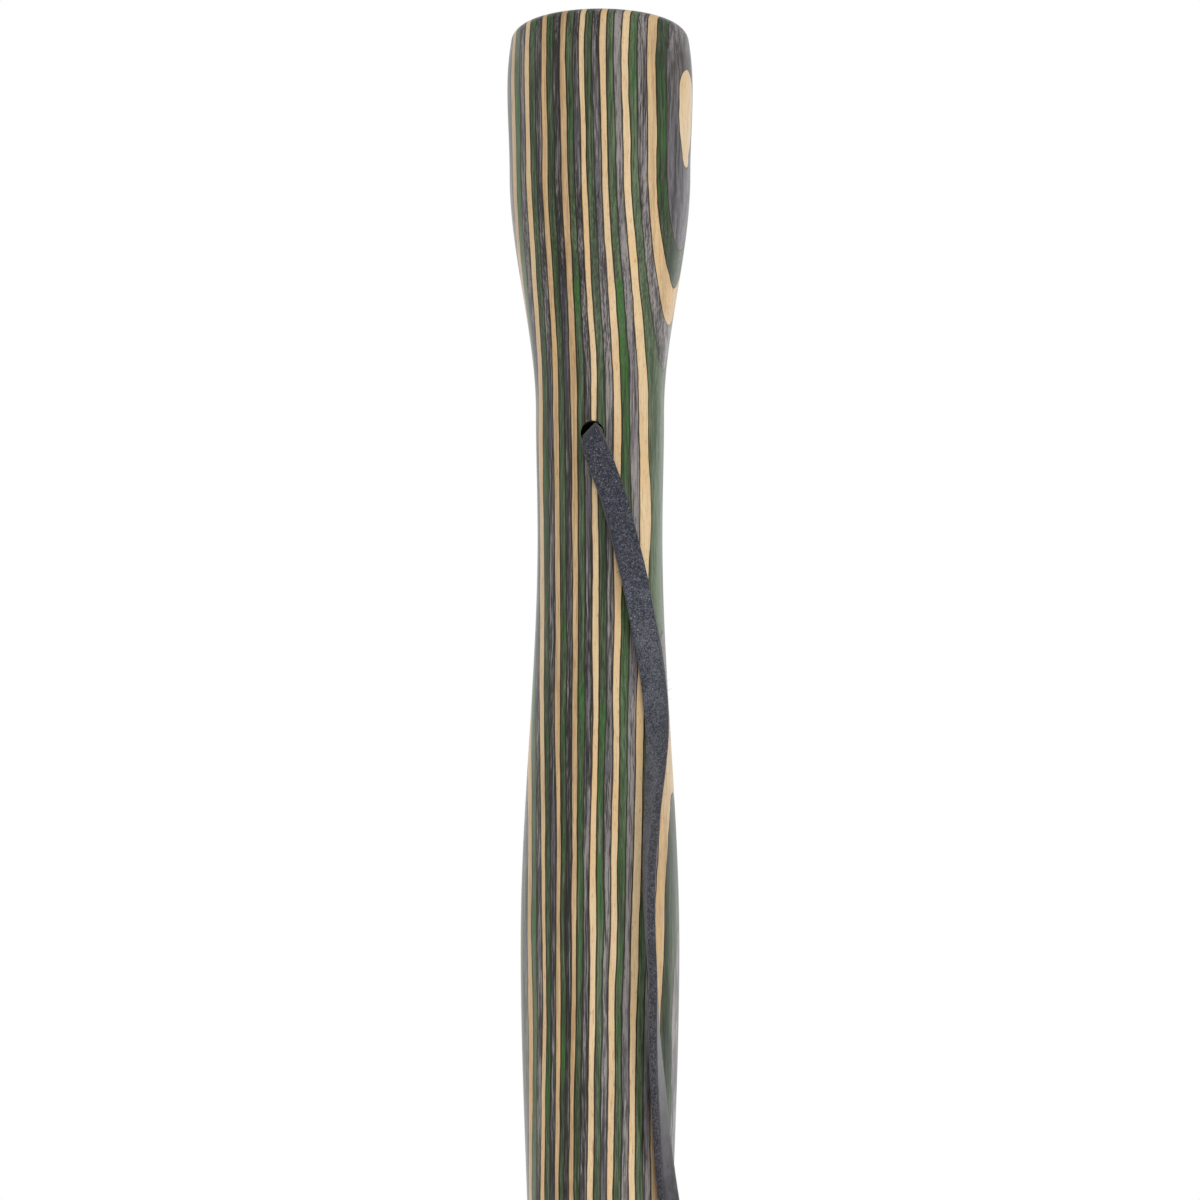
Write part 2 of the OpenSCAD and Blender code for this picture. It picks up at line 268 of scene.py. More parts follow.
# Places along the strand: right, forward or back, drop below the bore (mm), roll (degrees), folded share
front_route = [
    [0.2, -13, 0.2, -45, 1],
    [0.2, -14.6, 0.2, -45, 1],
    [0.3, -16.1, 0.7, -38, 0.85],
    [0.6, -17.1, 2.3, -25, 0.45],
    [1.2, -17.1, 4.6, -8, 0.1],
    [2.6, -16.5, 8.8, 8, 0],
    [4.6, -15.5, 14.4, 15, 0],
    [7.1, -14.6, 24, 15, 0],
    [9.6, -13.9, 34.8, 9, 0],
    [10.9, -13.6, 41.5, -3, 0],
    [12.3, -13.2, 48.7, -17, 0],
    [13.3, -12.8, 55.8, -27, 0],
    [14, -12.5, 63, -31, 0],
    [14.3, -12.7, 69, -37, 0],
    [14.1, -13.6, 76.5, -46, 0],
    [13.6, -14.7, 85, -56, 0],
    [13.1, -15.8, 94.5, -65, 0],
    [12.9, -16.5, 104.8, -73, 0],
    [13.2, -16.6, 116, -78, 0],
    [13.7, -16, 126, -83, 0],
    [13.9, -15.5, 136.6, -90, 0],
    [14.4, -14, 148, -101, 0],
    [15.1, -11.2, 161, -110, 0],
    [16.2, -8.4, 173.5, -121, 0],
    [17.8, -5.9, 186.5, -135, 0],
    [19.6, -3.9, 200.5, -150, 0],
    [21.3, -2.3, 214, -165, 0],
    [knot_offset, -strand_offset, knot_drop, -180, 0],
]


def smooth_line(rows, gap):
    """Rows a gap apart on one smooth curve through rows whose first three columns are a place."""
    rows = np.array(rows, float)
    reach = np.linalg.norm(np.diff(rows[:, :3], axis=0), axis=1)
    slope = np.diff(rows, axis=0) / reach[:, None]
    weighed = slope[:-1] * reach[1:, None] + slope[1:] * reach[:-1, None]
    slopes = np.vstack([slope[:1], weighed / (reach[:-1] + reach[1:])[:, None], slope[-1:]])
    line = []
    for i, span in enumerate(reach):
        steps = max(1, math.ceil(span / gap))
        for t in np.arange(steps) / steps:
            rest = 1 - t
            line.append(
                rows[i] * (1 + 2 * t) * rest**2 + rows[i + 1] * (3 - 2 * t) * t**2
                + slopes[i] * span * t * rest**2 - slopes[i + 1] * span * t**2 * rest
            )
    line.append(rows[-1])
    return np.array(line)


def unit(vectors):
    """The vectors at a length of 1."""
    return vectors / np.linalg.norm(vectors, axis=-1, keepdims=True)


def smooth(t):
    """A smooth step from 0 to 1."""
    t = np.clip(t, 0, 1)
    return t * t * (3 - 2 * t)


def laid_route(route, start, out):
    """Centres, facings and folded shares along a strand that hangs from a start and faces out."""
    line = smooth_line(np.array(route) * [mm, mm, -mm, 1, 1], ring_gap)
    roll = np.radians(line[:, 3:4])
    folded = np.clip(line[:, 4:5], 0, 1)
    facing = ((1 - folded) * out + folded * up) * np.cos(roll) + right * np.sin(roll)
    return start + line[:, :3], facing, folded[:, 0]


def lace_section():
    """Corners round a flat lace: shares of half its width and thickness, and the turn of its rounding."""
    flat_steps = 9
    edge_steps = 3
    round_steps = 3
    corners = []
    for across, through, first_turn in ((1, 1, 0), (-1, 1, 90), (-1, -1, 180), (1, -1, 270)):
        steps = flat_steps if across == through else edge_steps
        next_across, next_through = (-across, through) if across == through else (across, -through)
        for i in range(round_steps):
            corners.append((across, through, first_turn + 90 * i / round_steps))
        for i in range(steps):
            t = i / steps
            mixed_across = across + (next_across - across) * t
            mixed_through = through + (next_through - through) * t
            corners.append((mixed_across, mixed_through, first_turn + 90))
    return np.array(corners)


def lace_mesh(name, centres, facing, folded, width=lace_width, thickness=lace_thickness):
    """A closed flat lace along centres, with its lie, its flesh side and its cut edges for the finish."""
    along = unit(np.gradient(centres, axis=0))
    face = unit(facing - np.sum(facing * along, axis=1, keepdims=True) * along)
    across = np.cross(along, face)
    half_width = (width + (folded_width - width) * folded) / 2 - lace_corner
    half_thickness = (thickness + (folded_thickness - thickness) * folded) / 2 - lace_corner
    section = lace_section()
    turn = np.radians(section[:, 2])
    x = half_width[:, None] * section[:, 0] + lace_corner * np.cos(turn)
    y = half_thickness[:, None] * section[:, 1] + lace_corner * np.sin(turn)
    rings = centres[:, None] + across[:, None] * x[..., None] + face[:, None] * y[..., None]
    count, sides = x.shape
    steps = np.linalg.norm(np.diff(centres, axis=0), axis=1)
    length = np.concatenate([[0], np.cumsum(steps)])
    lie_at = np.stack([x, y, np.repeat(length[:, None], sides, axis=1)], axis=-1)
    flesh_at = np.repeat((1 + np.sin(turn))[None] / 2, count, axis=0)
    cut_at = np.repeat(np.abs(np.cos(turn))[None], count, axis=0)
    quads = []
    for i in range(count - 1):
        for j in range(sides):
            k = (j + 1) % sides
            quads.append((i * sides + j, (i + 1) * sides + j, (i + 1) * sides + k, i * sides + k))
    ends = [tuple(range(sides)), tuple(reversed(range((count - 1) * sides, count * sides)))]
    mesh = bpy.data.meshes.new(name)
    mesh.from_pydata(rings.reshape(-1, 3).tolist(), [], quads + ends)
    for label, kind, slot, values in (
        ("lie", "FLOAT_VECTOR", "vector", lie_at),
        ("flesh", "FLOAT", "value", flesh_at),
        ("cut", "FLOAT", "value", cut_at),
    ):
        mesh.attributes.new(label, kind, "POINT").data.foreach_set(slot, values.astype(np.float32).ravel())
    return mesh


def new_tree(name, sizes):
    """A Geometry Nodes tree with a geometry in and out and an input for each size, and its input flows."""
    tree = bpy.data.node_groups.new(name, "GeometryNodeTree")
    for label, kind in [("Geometry", "NodeSocketGeometry"), *sizes.items()]:
        tree.interface.new_socket(label, in_out="INPUT", socket_type=kind)
    tree.interface.new_socket("Geometry", in_out="OUTPUT", socket_type="NodeSocketGeometry")
    entry = tree.nodes.new("NodeGroupInput")
    return tree, {socket.name: Flow(tree, socket) for socket in entry.outputs if socket.name}


def end_tree(shape, finish):
    """Realizes what a tree made, gives it its finish and puts it out."""
    real = shape.node("GeometryNodeRealizeInstances", None, {0: shape})
    dressed = shape.node("GeometryNodeSetMaterial", None, {0: real, "Material": finish})
    shape.node("NodeGroupOutput", None, {0: dressed})


def grown(name, mesh, tree, values):
    """A piece with the plain mesh that a tree makes of a mesh, by the values of its inputs."""
    piece = bpy.data.objects.new(name, mesh)
    bpy.context.scene.collection.objects.link(piece)
    maker = piece.modifiers.new(name, "NODES")
    maker.node_group = tree
    for item in tree.interface.items_tree:
        if item.in_out == "INPUT" and item.name in values:
            maker[item.identifier] = values[item.name]
    graph = bpy.context.evaluated_depsgraph_get()
    made = bpy.data.meshes.new_from_object(
        piece.evaluated_get(graph), preserve_all_data_layers=True, depsgraph=graph
    )
    piece.modifiers.remove(maker)
    piece.data = made
    return piece


fibre_tree, given = new_tree("frayed_lace", {
    "Ruffle": "NodeSocketFloat",
    "Fibre length": "NodeSocketFloat",
    "Fibre thickness": "NodeSocketFloat",
    "Fibres": "NodeSocketFloat",
    "Seed": "NodeSocketInt",
    "Finish": "NodeSocketMaterial",
})
flow = given["Geometry"]
ruffle_scale = 900
fibre_resolution = 3
fibre_sides = 3
fibre_bend_share = 0.5
fibre_out_share = 0.6
fibre_rise_share = 0.8
shortest_fibre_share = 0.25
fibre_lean = 0.7
frayed_cut_share = 0.8
bare_stretch = 10 * mm
lie = flow.node("GeometryNodeInputNamedAttribute", {"data_type": "FLOAT_VECTOR"}, {"Name": "lie"})
cut = flow.node("GeometryNodeInputNamedAttribute", {"data_type": "FLOAT"}, {"Name": "cut"})
swell = ripple(lie, ruffle_scale) * given["Ruffle"]
outward = flow.node("GeometryNodeInputNormal")
ruffle = flow.node("ShaderNodeVectorMath", {"operation": "SCALE"}, {0: outward, "Scale": swell})
lace = flow.node("GeometryNodeSetPosition", None, {"Geometry": flow, "Offset": ruffle})
lace = flow.node("GeometryNodeSetShadeSmooth", {"domain": "FACE"}, {0: lace, "Shade Smooth": True})
along = flow.node("ShaderNodeSeparateXYZ", None, {0: lie}, out=2)
raw_edge = flow.maths("GREATER_THAN", cut, frayed_cut_share)
frayed_edge = raw_edge * flow.maths("GREATER_THAN", along, bare_stretch)
roots = flow.node("GeometryNodeDistributePointsOnFaces", None, {
    "Mesh": lace,
    "Selection": frayed_edge,
    "Density": given["Fibres"],
    "Seed": given["Seed"],
})
bend = flow.node("ShaderNodeCombineXYZ", None, {2: given["Fibre length"] * fibre_bend_share})
tip = flow.node("ShaderNodeCombineXYZ", None, {
    0: given["Fibre length"] * fibre_out_share,
    2: given["Fibre length"] * fibre_rise_share,
})
hair = flow.node("GeometryNodeCurveQuadraticBezier", None, {
    "Resolution": fibre_resolution,
    "Start": (0, 0, 0),
    "Middle": bend,
    "End": tip,
})
ring = flow.node("GeometryNodeCurvePrimitiveCircle", None, {
    "Resolution": fibre_sides,
    "Radius": given["Fibre thickness"],
})
hair = flow.node("GeometryNodeCurveToMesh", None, {"Curve": hair, "Profile Curve": ring, "Fill Caps": True})
hair = flow.node("GeometryNodeStoreNamedAttribute", {"data_type": "FLOAT", "domain": "POINT"}, {
    "Geometry": hair,
    "Name": "flesh",
    "Value": 1,
})
spread = flow.node("FunctionNodeRandomValue", {"data_type": "FLOAT"}, {
    2: shortest_fibre_share,
    3: 1,
    "Seed": given["Seed"],
}, out=1)
hairs = flow.node("GeometryNodeInstanceOnPoints", None, {
    "Points": roots,
    "Instance": hair,
    "Rotation": roots.also("Rotation"),
    "Scale": spread,
})
lean = flow.node("FunctionNodeRandomValue", {"data_type": "FLOAT_VECTOR"}, {
    0: (-fibre_lean, -fibre_lean, -math.pi),
    1: (fibre_lean, fibre_lean, math.pi),
    "Seed": given["Seed"],
})
hairs = flow.node("GeometryNodeRotateInstances", None, {
    "Instances": hairs,
    "Rotation": lean,
    "Local Space": True,
})
end_tree(flow.node("GeometryNodeJoinGeometry", None, {0: [lace, hairs]}), given["Finish"])
frayed = {
    "Ruffle": edge_ruffle,
    "Fibre length": fibre_length,
    "Fibre thickness": fibre_thickness,
    "Fibres": fibres_per_area,
    "Seed": 11,
    "Finish": leather,
}

front_centres, facing, folded = laid_route(front_route, bore_middle, front)
front_mesh = lace_mesh("front_strand", front_centres, facing, folded)
front_strand = grown("front_strand", front_mesh, fibre_tree, frayed)
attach(front_strand, "wrist_strap")
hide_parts("lace_front")

# Back strand of the wrist strap: the same lace, out of the bore's back mouth and down behind the grip. It
# hangs a little off the wood and comes round to the front strand at the knot.
back_route = [
    [0, 13, 0, 0, 1],
    [0, 14.5, 0, 0, 1],
    [0.3, 15.9, 0.8, 0, 0.8],
    [0.7, 16.6, 2.2, 2, 0.4],
    [1.1, 16.6, 4.2, 4, 0.1],
    [1.7, 16, 8, 6, 0],
    [2.5, 15.7, 14, 9, 0],
    [3.5, 15.4, 24, 13, 0],
    [4.5, 15.3, 36, 16, 0],
    [5.4, 15.6, 48, 19, 0],
    [6.3, 16.3, 62, 21, 0],
    [7.2, 17, 77, 23, 0],
    [8, 17.5, 93, 25, 0],
    [8.8, 17.6, 110, 27, 0],
    [9.5, 17.2, 126, 30, 0],
    [10.3, 16.4, 142, 33, 0],
    [11.2, 15.2, 157, 36, 0],
    [12.4, 13.4, 171, 38, 0],
    [14.4, 10.6, 185, 35, 0],
    [17.1, 7.2, 199, 25, 0],
    [20, 3.8, 213, 12, 0],
    [knot_offset, strand_offset, knot_drop, 0, 0],
]
back_centres, facing, folded = laid_route(back_route, bore_middle, back)
back_mesh = lace_mesh("back_strand", back_centres, facing, folded)
back_strand = grown("back_strand", back_mesh, fibre_tree, {**frayed, "Seed": 12})
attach(back_strand, "wrist_strap")
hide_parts("lace_back")

# The stretch of the lace inside the bore: folded up on itself to pass the hole, and held there by the loop
# on either side.
bore_route = [back_route[0], [0, 0, 0, 0, 1], front_route[0]]
centres, facing, folded = laid_route(bore_route, bore_middle, front)
bore_mesh = lace_mesh("bore_stretch", centres, facing, folded)
bore_stretch = grown("bore_stretch", bore_mesh, fibre_tree, {**frayed, "Fibres": 0.0, "Seed": 13})
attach(bore_stretch, "wrist_strap")
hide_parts("lace_bore")

# Knot of the wrist strap: both strands pass down its middle, and the doubled lace is wound round them and
# tucked in at both ends, as an overhand knot pulls up.
knot_height = 14.0
wound_radius = 4.45
tucked_radius = 2.5
wound_turns = 1.4
wound_rise = 8.6
wound_width = 3.7 * mm
wound_thickness = 1.8 * mm
wound_step = 3.7
wound_start = 0.6
knot_fibres_per_area = 120000.0
knot_seed = 20
tuck_share = 0.14
wound_points = 60
knot_top = np.array([knot_offset * mm, 0, bore_height - knot_drop * mm])
knot_middle = knot_top - up * knot_height / 2 * mm


def wound_band(offset):
    """Centres and facings of one band of lace wound round the strands, with its ends tucked in."""
    share = np.linspace(0, 1, wound_points)
    turn = wound_start + 2 * math.pi * wound_turns * share
    tuck = smooth(np.minimum(share, 1 - share) / tuck_share)
    radius = (tucked_radius + (wound_radius - tucked_radius) * tuck) * mm
    height = (wound_rise * (0.5 - share) + offset) * mm
    outward = np.stack([np.cos(turn), np.sin(turn), np.zeros(wound_points)], axis=1)
    return knot_middle + outward * radius[:, None] + up * height[:, None], outward


knot_parts = []
for side in (-1, 1):
    core_route = [
        [0, side * strand_offset, 0, 0, 0],
        [0, side * strand_offset, knot_height / 2, 0, 0],
        [0, side * strand_offset, knot_height, 0, 0],
    ]
    centres, facing, folded = laid_route(core_route, knot_top, back)
    knot_parts.append(lace_mesh("knot_core", centres, facing, folded))
for offset in (wound_step / 2, -wound_step / 2):
    centres, outward = wound_band(offset)
    no_fold = np.zeros(len(centres))
    knot_parts.append(lace_mesh("knot_band", centres, outward, no_fold, wound_width, wound_thickness))
knot_pieces = [
    grown(f"knot_part_{i}", part, fibre_tree, {
        **frayed,
        "Fibres": knot_fibres_per_area,
        "Seed": knot_seed + i,
    })
    for i, part in enumerate(knot_parts)
]
knot = knot_pieces[0]
knot.name = "strap_knot"
with bpy.context.temp_override(active_object=knot, object=knot, selected_editable_objects=knot_pieces):
    bpy.ops.object.join()
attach(knot, "wrist_strap")
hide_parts("lace_knot")

# Tails of the wrist strap: the two cut ends of the lace, left long under the knot so that it can't slip out.
# Both keep their suede to the back, as they pass through the knot.
knot_bottom = knot_top - up * knot_height * mm
tail_long_route = [
    [0, -strand_offset, 0, 0, 0],
    [0.3, -1.8, 8, 6, 0],
    [1.3, -3, 18, 14, 0],
    [2, -4.2, 30, 20, 0],
    [1.8, -5, 46, 24, 0],
]
tail_short_route = [
    [0, strand_offset, 0, 0, 0],
    [0.4, 1.9, 7, 5, 0],
    [1.6, 3.2, 16, 10, 0],
    [3, 4.4, 26, 14, 0],
    [4, 5, 37, 16, 0],
]
for name, node, route, out, flesh_side, seed in (
    ("long_tail", "lace_tail_long", tail_long_route, front, -1, 31),
    ("short_tail", "lace_tail_short", tail_short_route, back, 1, 32),
):
    centres, facing, folded = laid_route(route, knot_bottom, out)
    tail_mesh = lace_mesh(name, centres, flesh_side * facing, folded)
    tail = grown(name, tail_mesh, fibre_tree, {**frayed, "Seed": seed})
    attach(tail, "wrist_strap")
    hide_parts(node)

# Staff: 29 birch veneers, undyed, dyed grey or dyed green in turn, glued face to face into a blank and
# turned on a lathe. The sheets wander a little in the press, so the turned stripes wave, and all is
# lacquered satin.
staff_length = 1220.0
crown_radius = 75.0
shoulder_radius = 2.8
head_draw = 0.9
# Depth below the top and radius at the head, the brow, the neck, the waist, the palm swell and the shaft
stations = [(15.5, 20.8), (35.5, 20.25), (91, 14.3), (120, 13.9), (213, 17.55), (306, 15.3)]
shoulder_angle = math.radians(76)
tip_radius = 11.0
tip_top = 46.0
tip_seat = 10.0
crown_rings = 64
shoulder_rings = 12
side_rings = 12
grip_ring_gap = 1.0
shaft_rings = 130
tip_rings = 4
veneer_thickness = 1.5
first_glue_line = 20.35
veneer_count = 29
blank_reach = 24.0
arc_steps = 6
bore_radius = 2.6
bored_reach = 5.4
glue_wave = 0.5
sheet_wave = 0.26
edge_wave = 0.13
edge_reach = 20
# How the sheets wander in the press, by depth below the top: their turn about the axis (degrees), their
# shift and the lean of the outermost right glue line (mm), and the shares by which they are stretched to
# the left and to the right. The left sheets beyond crowd_start also crowd together at the head.
sheet_turns = [(109.5, 78.3), (205.8, 86.6)]
sheet_shifts = [(2, -0.38), (116, 0.36), (209, -1.39), (281, -2.38), (302, -2.38), (722, 0)]
left_stretch_shares = [(115.7, 0.06), (208.9, -0.17), (245, -0.21), (302, -0.2), (722, 0)]
right_stretch_shares = [(150, 0), (182, 0.015), (206, 0), (236, -0.03), (302, -0.03), (722, 0)]
edge_leans = [(9, 0.95), (19, 0.13), (28, -0.06), (33.8, 0.08), (38, 0.33)]
left_crowd_shares = [(45, 0.55), (85, 0)]
crowd_start = 17.2
dyes = ("tan", "grey", "green")


def eased(rows, depth):
    """A value at a depth, eased from row to row of depths and values."""
    value = rows[0][1]
    for (depth_a, value_a), (depth_b, value_b) in zip(rows, rows[1:]):
        value = value + (value_b - value_a) * smooth((depth - depth_a) / (depth_b - depth_a))
    return value


def turned_outline():
    """Radius and depth of the turned staff, from the top of the crown down to the end of the tip."""
    head_depth, head_radius = stations[0]
    shaft_depth, shaft_radius = stations[-1]
    shoulder_middle = head_radius - head_draw - shoulder_radius * math.sin(shoulder_angle)
    crown_angle = math.asin(shoulder_middle / (crown_radius - shoulder_radius))
    shoulder_depth = crown_radius - (crown_radius - shoulder_radius) * math.cos(crown_angle)
    outline = []
    for a in np.linspace(0, crown_angle, crown_rings):
        outline.append((crown_radius * math.sin(a), crown_radius * (1 - math.cos(a))))
    for a in np.linspace(crown_angle, shoulder_angle, shoulder_rings + 1)[1:]:
        outline.append((shoulder_middle + shoulder_radius * math.sin(a),
                        shoulder_depth - shoulder_radius * math.cos(a)))
    side_depth = outline[-1][1]
    for s in np.linspace(0, 1, side_rings + 1)[1:]:
        outline.append((head_radius - head_draw * (1 - s) ** 2, side_depth + (head_depth - side_depth) * s))
    for depth in np.arange(head_depth + grip_ring_gap, shaft_depth + grip_ring_gap / 2, grip_ring_gap):
        outline.append((float(eased(stations, depth)), depth))
    taper_depth = staff_length - tip_top
    for s in np.linspace(0, 1, shaft_rings + 1)[1:]:
        outline.append((shaft_radius + (tip_radius - shaft_radius) * s,
                        shaft_depth + (taper_depth - shaft_depth) * s))
    for s in np.linspace(0, 1, tip_rings + 1)[1:]:
        outline.append((tip_radius, taper_depth + (tip_top - tip_seat) * s))
    return np.array(outline)


def profile_mesh():
    """The staff's outline as a line of points, with how the sheets wander at each depth."""
    outline = turned_outline()
    run = unit(np.gradient(outline, axis=0))
    upright = np.abs(np.append(run[:, 1], 1))
    outline = np.vstack([outline, outline[-1:]])
    radius, depth = outline.T
    spread = np.ones(len(depth))
    spread[-1] = 0
    mesh = bpy.data.meshes.new("staff_outline")
    mesh.from_pydata([(0, 0, (staff_length - d) * mm) for d in depth], [], [])
    for label, values in (
        ("radius", radius * mm),
        ("turn", np.radians(eased(sheet_turns, depth))),
        ("shift", eased(sheet_shifts, depth) * mm),
        ("left_stretch", eased(left_stretch_shares, depth)),
        ("right_stretch", eased(right_stretch_shares, depth)),
        ("edge_lean", eased(edge_leans, depth) * mm),
        ("left_crowd", eased(left_crowd_shares, depth)),
        ("upright", upright),
        ("spread", spread),
    ):
        mesh.attributes.new(label, "FLOAT", "POINT").data.foreach_set("value", values.astype(np.float32))
    return mesh


veneer_tree, given = new_tree("turned_veneer", {
    "Arc steps": "NodeSocketInt",
    "Outer glue line": "NodeSocketFloat",
    "Inner glue line": "NodeSocketFloat",
    "Sheet": "NodeSocketFloat",
    "Wave": "NodeSocketFloat",
    "Sheet wave": "NodeSocketFloat",
    "Edge wave": "NodeSocketFloat",
    "Bore radius": "NodeSocketFloat",
    "Bore height": "NodeSocketFloat",
    "Bored": "NodeSocketBool",
    "Finish": "NodeSocketMaterial",
})
flow = given["Geometry"]
steps = given["Arc steps"]
columns = 2 * steps + 3
rings = flow.node("GeometryNodeAttributeDomainSize", None, {0: flow})
skin = flow.node("GeometryNodeMeshGrid", None, {"Vertices X": rings, "Vertices Y": columns})
index = flow.node("GeometryNodeInputIndex")
# Whole counts are told apart halfway between them
halfway = 0.5
ring = flow.maths("FLOOR", (index + halfway) / columns)
column = index - ring * columns
column = column * flow.maths("LESS_THAN", column, columns - 1 - halfway)
far_side = flow.maths("GREATER_THAN", column, steps + halfway)
side = 1 - 2 * far_side
share = far_side * (2 * steps + 1 - column) + (1 - far_side) * column
share = share / steps


def at_ring(label):
    """What the outline says at this ring."""
    value = flow.node("GeometryNodeInputNamedAttribute", {"data_type": "FLOAT"}, {"Name": label})
    settings = {"data_type": "FLOAT", "domain": "POINT"}
    return flow.node("GeometryNodeSampleIndex", settings, {"Geometry": flow, "Value": value, "Index": ring})


def ring_height():
    """How high this ring lies."""
    place = flow.node("GeometryNodeInputPosition")
    settings = {"data_type": "FLOAT_VECTOR", "domain": "POINT"}
    at = flow.node("GeometryNodeSampleIndex", settings, {"Geometry": flow, "Value": place, "Index": ring})
    return flow.node("ShaderNodeSeparateXYZ", None, {0: at}, out=2)


radius = at_ring("radius")
height = ring_height()
lean = at_ring("turn")
wave_across = 45
# Waves in a glue line: the input with the size, the step from sheet to sheet, the start, how often it waves
# in a metre along the staff, and the detail
press_waves = (
    ("Wave", 0.31, 0, 30, 1),
    ("Sheet wave", 7.7, 40, 42, 3),
    ("Edge wave", 5.3, 90, 210, 2),
)
least_crossing = 0.02


def glue_line(nominal, sheet):
    """Distance from the axis at which a glue line meets the turned surface on this side."""
    left = at_ring("left_stretch") * flow.maths("MINIMUM", nominal, 0)
    right = at_ring("right_stretch") * flow.maths("MAXIMUM", nominal, 0)
    edge = at_ring("edge_lean") * flow.maths("GREATER_THAN", nominal, edge_reach * mm)
    crowd = at_ring("left_crowd") * flow.maths("MAXIMUM", -crowd_start * mm - nominal, 0)
    planned = nominal + at_ring("shift") + left + right + edge + crowd
    reach = flow.maths("SQRT", flow.maths("MAXIMUM", radius * radius - planned * planned, 0))
    line = planned
    for size, sheet_step, start, along, detail in press_waves:
        place = flow.node("ShaderNodeCombineXYZ", None, {
            0: sheet * sheet_step + start,
            1: side * reach * wave_across,
            2: height * along,
        })
        line = line + ripple(place, 1, detail) * given[size] * 2
    return line


def arc_angle(distance):
    """The angle round the axis at which the turned surface lies this far out."""
    ratio = flow.maths("MINIMUM", flow.maths("MAXIMUM", distance / radius, -1), 1)
    return flow.maths("ARCCOSINE", ratio)


outer = glue_line(given["Outer glue line"], given["Sheet"])
inner = glue_line(given["Inner glue line"], given["Sheet"] + 1)
outer_angle = arc_angle(outer)
angle = outer_angle + (arc_angle(inner) - outer_angle) * share
out_from_axis = radius * flow.maths("COSINE", angle)
sideways = radius * flow.maths("SINE", angle) * side * at_ring("spread")
sine = flow.maths("SINE", lean)
cosine = flow.maths("COSINE", lean)
turned = flow.node("ShaderNodeCombineXYZ", None, {
    0: out_from_axis * sine + sideways * cosine,
    1: sideways * sine - out_from_axis * cosine,
    2: height,
})
facing_sheet = at_ring("upright") * flow.maths("COSINE", angle)
crossing = flow.maths("SQRT", flow.maths("MAXIMUM", 1 - facing_sheet * facing_sheet, least_crossing))
faces_round = columns - 1
face_row = flow.maths("FLOOR", (index + halfway) / faces_round)
face_column = index - face_row * faces_round
inner_face = flow.maths("COMPARE", face_column, steps, halfway)
outer_face = flow.maths("COMPARE", face_column, 2 * steps + 1, halfway)
foot_face = flow.maths("COMPARE", face_row, rings - 2, halfway)
face_kind = inner_face + 2 * outer_face + 4 * foot_face
for label, kind, domain, value in (
    ("face_kind", "INT", "FACE", face_kind),
    ("from_outer", "FLOAT", "POINT", (outer - out_from_axis) / crossing),
    ("from_inner", "FLOAT", "POINT", (out_from_axis - inner) / crossing),
    ("sheet", "FLOAT", "POINT", given["Sheet"]),
):
    skin = flow.node("GeometryNodeStoreNamedAttribute", {"data_type": kind, "domain": domain}, {
        "Geometry": skin,
        "Name": label,
        "Value": value,
    })
skin = flow.node("GeometryNodeSetPosition", None, {"Geometry": skin, "Position": turned})
seam = 0.002 * mm
skin = flow.node("GeometryNodeMergeByDistance", None, {"Geometry": skin, "Distance": seam})
neighbours = flow.node("GeometryNodeInputMeshEdgeNeighbors")
loose = flow.maths("LESS_THAN", neighbours, halfway)
skin = flow.node("GeometryNodeDeleteGeometry", {"domain": "EDGE"}, {"Geometry": skin, "Selection": loose})
drill_sides = 96
drill_length = 2 * blank_reach * mm
drill = flow.node("GeometryNodeMeshCylinder", None, {
    "Vertices": drill_sides,
    "Radius": given["Bore radius"],
    "Depth": drill_length,
})
drill = flow.node("GeometryNodeTransform", None, {
    "Geometry": drill,
    "Translation": flow.node("ShaderNodeCombineXYZ", None, {2: given["Bore height"]}),
    "Rotation": (level, 0, 0),
})
drilling = {"operation": "DIFFERENCE", "solver": "EXACT"}
drilled = flow.node("GeometryNodeMeshBoolean", drilling, {0: skin, 1: drill})
skin = flow.node("GeometryNodeSwitch", {"input_type": "GEOMETRY"}, {
    0: given["Bored"],
    1: skin,
    2: drilled,
})
kind = flow.node("GeometryNodeInputNamedAttribute", {"data_type": "INT"}, {"Name": "face_kind"})
border = flow.node("GeometryNodeMeshFaceSetBoundaries", None, {0: kind})
sharp_angle = math.radians(40)
steep = flow.maths("GREATER_THAN", flow.node("GeometryNodeInputMeshEdgeAngle"), sharp_angle)
skin = flow.node("GeometryNodeSetShadeSmooth", {"domain": "FACE"}, {0: skin, "Shade Smooth": True})
skin = flow.node("GeometryNodeSetShadeSmooth", {"domain": "EDGE"}, {
    0: skin,
    "Selection": flow.maths("MAXIMUM", border, steep),
    "Shade Smooth": False,
})
end_tree(skin, given["Finish"])


tone_seed = 3955037
waver_scale = 210
waver_axis_scales = (1, 1, 0.5)
streak_waver = 0.9 * mm
streak_scale = 2800
streak_axis_scales = (1, 0.22, 0.02)
streak_turn = (0, math.radians(0.8), 0)
fibre_scale = 5200
fibre_axis_scales = (1, 1, 0.035)
short_axis_scales = (1, 1, 0.09)
cloud_scale = 190
dash_scale = 4200
dash_limits = (0.6, 0.72)
speck_scale = 4800
speck_limits = (0.58, 0.74)
speck_share = 0.55
vivid_axis_scales = (0, 0, 24)
vivid_sheet_step = 3.7
vivid_waver = 2
vivid_limits = (0.5, 0.68)
vivid_streak_limits = (0.3, 0.6)
vivid_share = 0.75
glue_core = 0.11 * mm
glue_fade = 0.22 * mm
glue_wobble = 0.12 * mm
wobble_scale = 700
lacquer_roughness = 0.3
lacquer_unevenness = 0.16
lacquer_depth = 0.012 * mm
dash_relief_share = 0.6
lacquer_shine = {"Specular IOR Level": 0.16}


def drawn_out(place, scales, turn=(0, 0, 0)):
    """A place turned and scaled along each axis: a small scale draws a pattern on it out that way."""
    return place.node("ShaderNodeMapping", None, {"Vector": place, "Rotation": turn, "Scale": scales})


